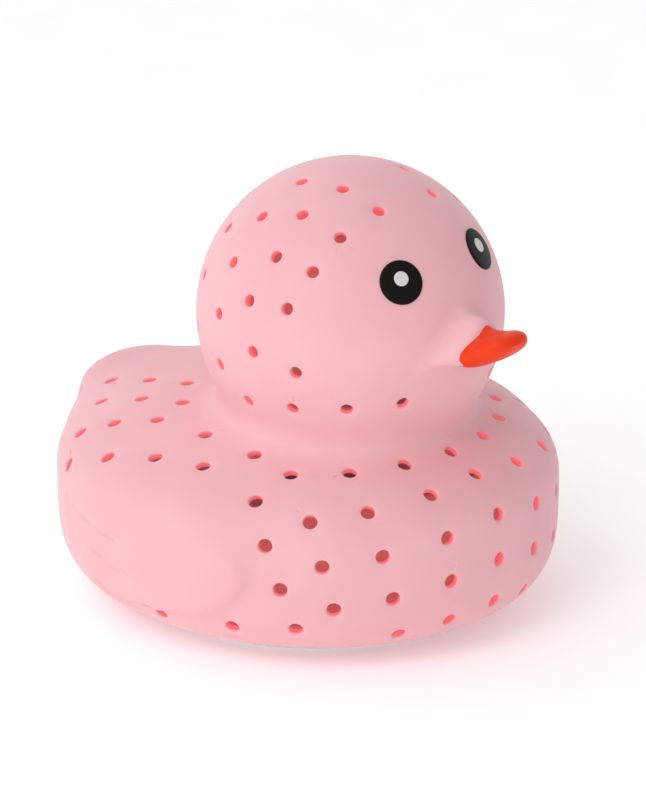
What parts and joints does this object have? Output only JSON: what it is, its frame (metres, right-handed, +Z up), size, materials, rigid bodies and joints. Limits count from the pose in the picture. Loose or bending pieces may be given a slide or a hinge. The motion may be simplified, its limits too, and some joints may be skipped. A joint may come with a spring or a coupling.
{
  "type": "floating chlorine dispenser",
  "caption": "Perforated soft-vinyl duck that floats in a pool or spa and doses chlorine from a slotted chamber with a dial and a screw-out base.",
  "frame": {"origin": "on the ground plane, at the middle of the duck's length and width; the dosing canister stands on the Z axis", "axes": "+Z up, the duck looks along -Y, +X is the duck's left"},
  "size_m": [0.1522, 0.1769, 0.1438],
  "materials": {
    "duck_skin": "matt soft vinyl, pale pink",
    "bill_vinyl": "satin soft vinyl, orange",
    "eye_black": "satin black",
    "eye_white": "satin white",
    "white_pp": "moulded white polypropylene",
    "grey_pp": "moulded grey-blue polypropylene",
    "foam": "closed-cell polyethylene foam",
    "steel": "stainless steel",
    "chlorine": "pressed chlorine, chalky",
    "seal_rubber": "EPDM, matt black"
  },
  "bodies": {
    "duck": {"duck_shell": "duck_skin", "beak": "bill_vinyl", "eye_left": "eye_black", "eye_right": "eye_black", "eye_highlight_left": "eye_white", "eye_highlight_right": "eye_white", "foot_ring": "white_pp", "foot_screws": "steel", "belly_collar": "white_pp", "tablet_canister": "white_pp", "canister_screws": "steel", "float_half_front": "foam", "float_half_rear": "foam", "float_retainer": "grey_pp", "head_post": "white_pp", "head_float": "foam", "post_cap": "grey_pp"},
    "dose": {"dose_dial": "grey_pp", "dose_sleeve": "grey_pp"},
    "tray": {"tablet_tray": "white_pp", "tray_clip": "steel", "chlorine_tablets": "chlorine"},
    "closure": {"base_cap": "grey_pp", "cap_seal": "seal_rubber", "ballast_disc": "steel", "ballast_cover": "grey_pp", "cover_screws": "steel"}
  },
  "joints": [
    {"name": "dose_turn", "type": "hinge", "parent": "duck", "child": "dose", "pos_m": [0, 0, 0.02], "axis": [0, 0, 1], "range_deg": [0, 30]},
    {"name": "cap_travel", "type": "slide", "parent": "duck", "child": "tray", "axis": [0, 0, -1], "range_m": [0, 0.048]},
    {"name": "cap_turn", "type": "hinge", "parent": "tray", "child": "closure", "pos_m": [0, 0, 0.01], "axis": [0, 0, -1], "range_deg": [0, 720]}
  ],
  "couplings": [
    {"joint": "cap_turn", "follows": "cap_travel", "rad_per_m": 261.8}
  ]
}
